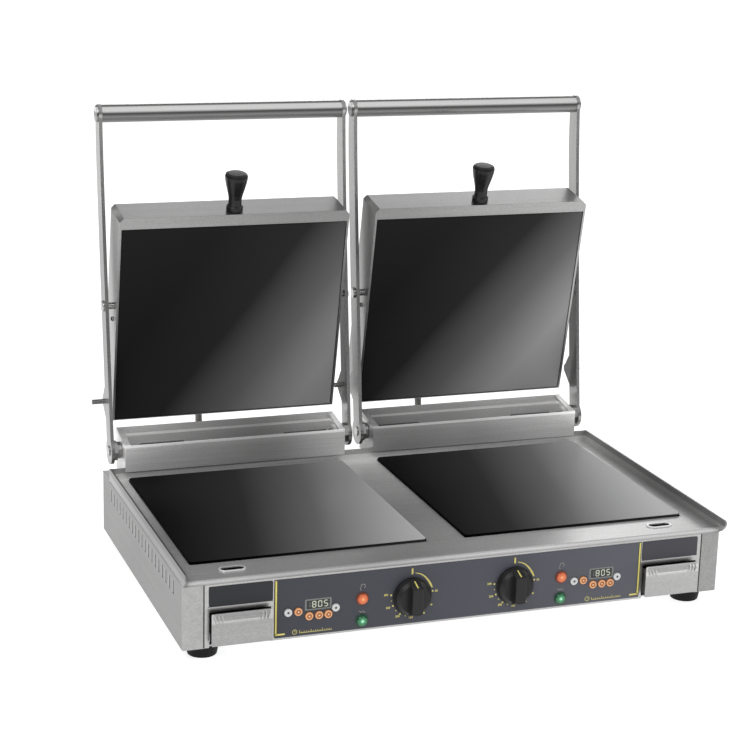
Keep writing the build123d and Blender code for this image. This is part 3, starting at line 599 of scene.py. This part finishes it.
# ------------------------------------------------------------ keys, lamps
KEYS = ((-33.1, 44.2), (-21.9, 44.0), (-9.9, 37.8), (1.0, 37.8), (11.1, 37.8), (19.2, 44.3))
for side, s in SIDES:
    for k, (dx, z) in enumerate(KEYS, 1):
        c = P(s * 164.1 + dx, 0, z)
        m = Shade("%s_key_%d_print" % (side, k))
        m.p.inputs["Specular IOR Level"].default_value = 0.4
        off = m.vec("SUBTRACT", m.co, (c.x, 0.0, c.z))
        flat = m.vec("MULTIPLY", off, (1.0, 0.0, 1.0))
        r = m.math("MULTIPLY", m.vec("LENGTH", flat), 200.0)     # 1 at 5 mm
        n = m.noise((1800.0, 1800.0, 1800.0), 2.0, 0.5)
        r = m.math("MULTIPLY_ADD", m.math("SUBTRACT", n, 0.5), 0.05, r)
        if k in (1, 6):
            m.colour(m.ramp(r, ((0.0, rgb(40, 40, 44)), (0.20, rgb(60, 60, 66)), (0.30, rgb(205, 206, 208)), (0.80, rgb(214, 214, 214)), (0.90, rgb(160, 160, 162)))))
        else:
            m.colour(m.ramp(r, ((0.0, rgb(250, 214, 176)), (0.18, rgb(240, 190, 140)), (0.27, rgb(150, 84, 44)), (0.50, rgb(170, 98, 54)),
                                (0.62, rgb(240, 182, 132)), (0.84, rgb(236, 170, 118)), (0.93, rgb(170, 100, 60)))))
        m.rough(m.math("MULTIPLY_ADD", n, 0.15, 0.35))
        m.bump(n, 0.2, 0.00003, 0.0003)
        paint(m.m, "%s_key_%d" % (side, k))

lamp = Shade("lamp_lens")
lamp.p.inputs["Specular IOR Level"].default_value = 0.6
lamp.p.inputs["Coat Weight"].default_value = 0.4
lamp.p.inputs["Coat Roughness"].default_value = 0.08
lp = lamp.vec("ABSOLUTE", lamp.co)
is_top = lamp.math("GREATER_THAN", lamp.vec("DOT_PRODUCT", lamp.co, (0, 0, 1.0)), 0.0384)
zc = lamp.math("MULTIPLY_ADD", is_top, 0.0248, 0.026)
dx_ = lamp.math("SUBTRACT", lamp.vec("DOT_PRODUCT", lp, (1.0, 0, 0)), 0.1152)
dz_ = lamp.math("SUBTRACT", lamp.vec("DOT_PRODUCT", lp, (0, 0, 1.0)), zc)
rr = lamp.math("SQRT", lamp.math("ADD", lamp.math("MULTIPLY", dx_, dx_), lamp.math("MULTIPLY", dz_, dz_)))
rr = lamp.math("MULTIPLY", rr, 150.0)        # 1 at 6.7 mm
star = lamp.noise((900.0, 900.0, 900.0), 2.0, 0.6)
rr = lamp.math("MULTIPLY_ADD", lamp.math("SUBTRACT", star, 0.5), 0.16, rr)
orange = lamp.ramp(rr, ((0.0, rgb(250, 196, 130)), (0.16, rgb(236, 142, 78)), (0.40, rgb(214, 104, 48)), (0.72, rgb(206, 92, 38)), (0.95, rgb(122, 50, 24))))
green = lamp.ramp(rr, ((0.0, rgb(206, 244, 220)), (0.20, rgb(140, 226, 180)), (0.34, rgb(34, 140, 86)), (0.70, rgb(14, 100, 56)), (0.95, rgb(6, 54, 30))))
lcol = lamp.mix(is_top, green, orange)
lamp.colour(lcol)
lamp.put(lcol, lamp.p.inputs["Emission Color"])
lamp.p.inputs["Emission Strength"].default_value = 0.12
lamp.rough(lamp.math("MULTIPLY_ADD", star, 0.2, 0.12))
lamp.bump(star, 0.3, 0.0002)
paint(lamp.m, "indicator_lamps")

# painted glow of the lamps on the black bezels: dark green round the green lamps, brownish orange round the orange
# ones
bez = Shade("lamp_bezel")
bn = bez.noise((1200.0, 1200.0, 1200.0), 2.0, 0.5)
bz = bez.math("GREATER_THAN", bez.vec("DOT_PRODUCT", bez.co, (0, 0, 1.0)), 0.0384)
bez.colour(bez.mix(bz, bez.ramp(bn, ((0.3, rgb(14, 62, 38)), (0.7, rgb(22, 84, 52)))), bez.ramp(bn, ((0.3, rgb(96, 50, 34)), (0.7, rgb(124, 66, 44))))))
bez.rough(bez.math("MULTIPLY_ADD", bn, 0.2, 0.3))
bez.bump(bn, 0.2, 0.00004, 0.0002)
paint(bez.m, "lamp_bezels")

# ------------------------------------------------------------ printed marks
def ink_and_painted_shadow(name, colour, spread=0.14):
    s = Shade(name)
    s.p.inputs["Specular IOR Level"].default_value = 0.3
    n = s.noise((900.0, 900.0, 900.0), 3.0, 0.6)
    tone = s.math("MULTIPLY_ADD", s.math("SUBTRACT", n, 0.5), spread * 2, 1.0)
    s.colour(s.vec("SCALE", colour[:3], scale=tone))
    s.rough(s.math("MULTIPLY_ADD", n, 0.2, 0.4))
    s.bump(n, 0.2, 0.00003)
    return s.m


yellow = ink_and_painted_shadow("ink_pale_yellow", rgb(226, 214, 122))
cream = ink_and_painted_shadow("ink_cream", rgb(224, 218, 176))
grey_ink = ink_and_painted_shadow("ink_light_grey", rgb(170, 170, 168))
dark_line = ink_and_painted_shadow("ink_olive", rgb(74, 72, 40))
FACE = -0.8
TOP, UNDER = FACE - 0.08, FACE + 0.05

bm = bmesh.new()
edge = bmesh.new()
for side, s in SIDES:
    x = s * 210.3
    stroke(bm, [(x, 80.6), (x, 20.4)], 1.7, TOP - 0.04, UNDER)
    stroke(bm, [(x + s * 0.85, 20.4), (s * 200.4, 20.4)], 1.8, TOP - 0.04, UNDER)
    stroke(edge, [(x, 81.0), (x, 19.2)], 3.4, TOP, UNDER)
mesh_piece("panel_corner_lines", bm, yellow, "base")
mesh_piece("panel_corner_line_edges", edge, dark_line, "base")

# painted shadow: dark strips stand for the shade in the open seams beside the front frame, and under the deck's hem
bm = bmesh.new()
for side, s in SIDES:
    slab(bm, [(s * 286.5, 14.6), (s * 287.9, 14.6), (s * 287.9, 83.4), (s * 286.5, 83.4)], -0.10, 0.10)
    slab(bm, [(s * 213.4, 58.9), (s * 283.0, 58.9), (s * 283.0, 59.5), (s * 213.4, 59.5)], -0.10, 0.10)
mesh_piece("seam_shadows", bm, ink_and_painted_shadow("seam_painted_shadow", rgb(46, 46, 46)), "base")

# dial of each thermostat: tick, tapering arc, dots and plain numbers
bm = bmesh.new()
for side, s in SIDES:
    cx, cz = s * 59.4, 47.5

    def at(deg, r):
        a = math.radians(deg)
        return cx + r * math.sin(a), cz + r * math.cos(a)

    stroke(bm, [at(0, 24.8), at(0, 31.2)], 1.9, TOP, UNDER)
    arc = [(7, 26.1, 0.5), (14, 26.0, 0.8), (22, 25.9, 1.1), (31, 25.4, 1.3), (40, 24.9, 1.6), (50, 24.4, 1.8), (60, 24.1, 2.0), (66, 24.1, 1.8), (72, 24.4, 1.3)]
    stroke(bm, [at(a, r) for a, r, w in arc], [w for a, r, w in arc], TOP, UNDER)
    for a, r, d in ((82, 24.0, 2.0), (118, 26.0, 2.0), (145, 25.6, 2.0), (214, 22.9, 2.0), (247, 23.0, 2.0), (278, 23.6, 2.1),
                    (197, 22.9, 1.3), (230, 22.9, 1.3), (262, 23.2, 1.3)):
        slab(bm, ring_line(*at(a, r), d / 2, 16), TOP, UNDER)
    for a, r, t in ((84, 28.2, "50"), (181, 24.6, "150"), (216, 26.6, "200"), (248, 28.6, "250"), (278, 29.6, "300")):
        text_mesh(bm, t, 3.3, *at(a, r), TOP, UNDER)
mesh_piece("dial_marks", bm, yellow, "base")

# display: light outline and three seven-segment digits
SEG = {"0": "abcdef", "5": "afgcd", "8": "abcdefg", "3": "abgcd"}


def segment_lines(x, z, w, h):
    hw, hh, g = w / 2, h / 2, 0.25
    return {"a": [(x - hw + g, z + hh), (x + hw - g, z + hh)], "d": [(x - hw + g, z - hh), (x + hw - g, z - hh)],
            "g": [(x - hw + g, z), (x + hw - g, z)],
            "f": [(x - hw, z + hh - g), (x - hw, z + g)], "b": [(x + hw, z + hh - g), (x + hw, z + g)],
            "e": [(x - hw, z - g), (x - hw, z - hh + g)], "c": [(x + hw, z - g), (x + hw, z - hh + g)]}


bm = bmesh.new()
fr = bmesh.new()
for side, s in SIDES:
    x = s * 164.1
    band(fr, rounded(x - 12.8, x + 12.8, 45.4, 55.0, 0.8), rounded(x - 14.6, x + 14.6, 44.0, 56.4, 1.4), TOP, UNDER)
    for dx, ch in ((-4.4, "8"), (2.2, "0"), (8.6, "5")):
        lines = segment_lines(x + dx, 50.2, 3.6, 6.4)
        for c in SEG[ch]:
            stroke(bm, lines[c], 0.95, -0.66, -0.55)
    # the dimmed first place
    lines = segment_lines(x - 10.4, 50.2, 2.6, 6.0)
    for c in "bc":
        stroke(fr, lines[c], 0.7, -0.66, -0.55)
mesh_piece("display_digits", bm, ink_and_painted_shadow("digit_segments", rgb(214, 220, 200)), "base")
mesh_piece("display_outlines", fr, ink_and_painted_shadow("display_outline", rgb(126, 128, 126)), "base")

# small plain pictograms: a heat curl above each orange lamp, a mains wave above each green one, a clock face under the keys
bm = bmesh.new()
for side, s in SIDES:
    x = s * 115.2
    curl = [(x + 2.4 * math.cos(math.radians(a)) + 0.6, 64.6 + 2.4 * math.sin(math.radians(a))) for a in range(-60, 181, 24)]
    stroke(bm, curl, 0.7, TOP, UNDER)
    stroke(bm, [(x - 1.8, 64.4), (x - 2.6, 61.4), (x - 1.2, 59.6)], 0.6, TOP, UNDER)
    stroke(bm, [(x - 3.6 + 0.6 * i, 35.9 + 1.0 * math.sin(i * math.pi / 3)) for i in range(13)], 0.6, TOP, UNDER)
mesh_piece("lamp_pictograms", bm, ink_and_painted_shadow("pictogram_grey", rgb(150, 146, 140)), "base")

bm = bmesh.new()
for side, s in SIDES:
    x = s * 169.0
    band(bm, ring_line(x - 20.5, 21.4, 2.2, 24), ring_line(x - 20.5, 21.4, 2.8, 24), TOP, UNDER)
    stroke(bm, [(x - 20.5, 21.2), (x - 20.5, 22.9)], 0.5, TOP, UNDER)
    stroke(bm, [(x - 20.7, 21.4), (x - 19.2, 21.4)], 0.5, TOP, UNDER)
    for i in range(15):
        tall = 2.6 if i % 5 == 0 else (1.5 if i % 5 in (2, 3) else 1.1)
        stroke(bm, [(x - 15 + 2.5 * i, 20.2), (x - 15 + 2.5 * i, 20.2 + tall)], 0.6, TOP, UNDER)
    stroke(bm, [(x - 15.4, 19.8), (x + 20.4, 19.8)], 0.55, TOP, UNDER)
mesh_piece("timer_scale_marks", bm, ink_and_painted_shadow("scale_olive", rgb(206, 196, 120)), "base")

# ----------------------------------------------------------- knob pointers
for side, s in SIDES:
    cx = s * 59.4
    bm = bmesh.new()
    # from the rim's edge to the front of the grip, on its upper end
    a = (-5.2, 20.45)
    b = (-19.0, 15.75)
    ny, nz = (a[1] - b[1]), (a[0] - b[0])
    d = math.hypot(ny, nz)
    ny, nz = -ny / d, nz / d
    rows = []
    for y, z in (a, b):
        for lift in (-0.3, 0.12):
            for w in (-0.75, 0.75):
                rows.append(bm.verts.new(P(cx + w, y + ny * lift, 47.5 + z + nz * lift)))
    f = bm.faces.new
    f((rows[0], rows[1], rows[3], rows[2]))
    f((rows[4], rows[6], rows[7], rows[5]))
    f((rows[0], rows[4], rows[5], rows[1]))
    f((rows[2], rows[3], rows[7], rows[6]))
    f((rows[0], rows[2], rows[6], rows[4]))
    f((rows[1], rows[5], rows[7], rows[3]))
    mesh_piece(side + "_knob_pointer", bm, yellow, side + "_knob")

# ----------------------------------------------------------------- screws
screw_steel = steel("screw_steel", "X", 0.40, 0.30, 0.10, bevel=0.0)
HEAD = ((2.9, -0.4), (2.9, 0.5), (2.7, 1.1), (2.2, 1.6), (1.5, 1.85), (1.35, 1.85), (1.3, 0.7))


def screws(name, places, body):
    """socket-headed screws. places: (x, y, z, axis) with axis one of X, -X, Y, -Y, Z, -Z for the way the head faces"""
    bm = bmesh.new()
    for x, y, z, way in places:
        sign = -1 if way[0] == "-" else 1
        ax = way[-1]

        def place(a, b, h, x=x, y=y, z=z, sign=sign, ax=ax):
            if ax == "X":
                return P(x + sign * h, y + a, z + b)
            if ax == "Y":
                return P(x + a, y + sign * h, z + b)
            return P(x + a, y + b, z + sign * h)
        lathe(bm, HEAD, place, 24, flat=(5, 6))
    return mesh_piece(name, bm, screw_steel, body, smooth=40)


lean = math.radians(11.1)


def lid_point(w, u):
    return 401.0 + w * math.cos(lean) - u * math.sin(lean), 144.7 + w * math.sin(lean) + u * math.cos(lean)


for side, s in SIDES:
    y, z = lid_point(18.6, 141.3 - 17.0)
    screws(side + "_lid_screws", [(s * 294.5, y, z, "X" if s > 0 else "-X"), (s * 16.5, y, z, "-X" if s > 0 else "X")], side + "_lid")
screws("rear_panel_screws", [(x, 385.0, z, "Y") for x in (-300, -150, 0, 150, 300) for z in (22.0, 78.0)], "base")

# ------------------------------------------------------------ floor, light
me = bpy.data.meshes.new("floor")
me.from_pydata([(-30, -30, 0), (30, -30, 0), (30, 30, 0), (-30, 30, 0)], [], [(0, 1, 2, 3)])
floor = link(bpy.data.objects.new("floor", me))
fs = Shade("floor_white")
fs.p.inputs["Specular IOR Level"].default_value = 0.0
fs.p.inputs["Roughness"].default_value = 1.0
fnn = fs.noise((3.0, 3.0, 3.0), 2.0, 0.5)
fs.colour(fs.vec("SCALE", (1.0, 1.0, 1.0), scale=fs.math("MULTIPLY_ADD", fnn, 0.02, 0.55)))
fs.p.inputs["Emission Color"].default_value = (1.0, 1.0, 1.0, 1.0)
fs.p.inputs["Emission Strength"].default_value = 0.80
floor.data.materials.append(fs.m)

world = bpy.data.worlds.new("studio")
world.use_nodes = True
SCENE.world = world
wt = world.node_tree
wt.nodes.clear()
wo = wt.nodes.new("ShaderNodeOutputWorld")
wb = wt.nodes.new("ShaderNodeBackground")
wc = wt.nodes.new("ShaderNodeTexCoord")
dot = wt.nodes.new("ShaderNodeVectorMath")
dot.operation = "DOT_PRODUCT"
# a dark studio wall up to a bright ceiling
dot.inputs[1].default_value = (0.06, -0.05, 1.0)
wt.links.new(wc.outputs["Generated"], dot.inputs[0])
wr = wt.nodes.new("ShaderNodeValToRGB")
wr.color_ramp.interpolation = "EASE"
el = wr.color_ramp.elements
while len(el) < 4:
    el.new(0.5)
for e, (at, c) in zip(el, ((0.0, 0.12), (0.22, 0.18), (0.55, 1.0), (1.0, 1.0))):
    e.position = at
    e.color = (c, c, c * 1.01, 1)
wt.links.new(dot.outputs["Value"], wr.inputs[0])
wt.links.new(wr.outputs[0], wb.inputs["Color"])
wb.inputs["Strength"].default_value = 0.66
wt.links.new(wb.outputs[0], wo.inputs[0])


def softbox(name, place, target, size, watts):
    la = bpy.data.lights.new(name, "AREA")
    la.shape = "RECTANGLE"
    la.size, la.size_y = size
    la.energy = watts
    o = link(bpy.data.objects.new(name, la))
    place, target = Vector(place), Vector(target)
    o.matrix_world = Matrix.Translation(place) @ (place - target).to_track_quat("Z", "Y").to_matrix().to_4x4()
    return o


softbox("key", (-1.6, -1.6, 2.4), (0.0, 0.0, 0.15), (1.6, 1.2), 26)
softbox("fill", (2.6, -0.6, 2.0), (0.0, 0.0, 0.15), (1.2, 1.6), 14)
softbox("back", (1.1, 2.8, 1.3), (0.0, 0.0, 0.1), (1.6, 0.7), 12)
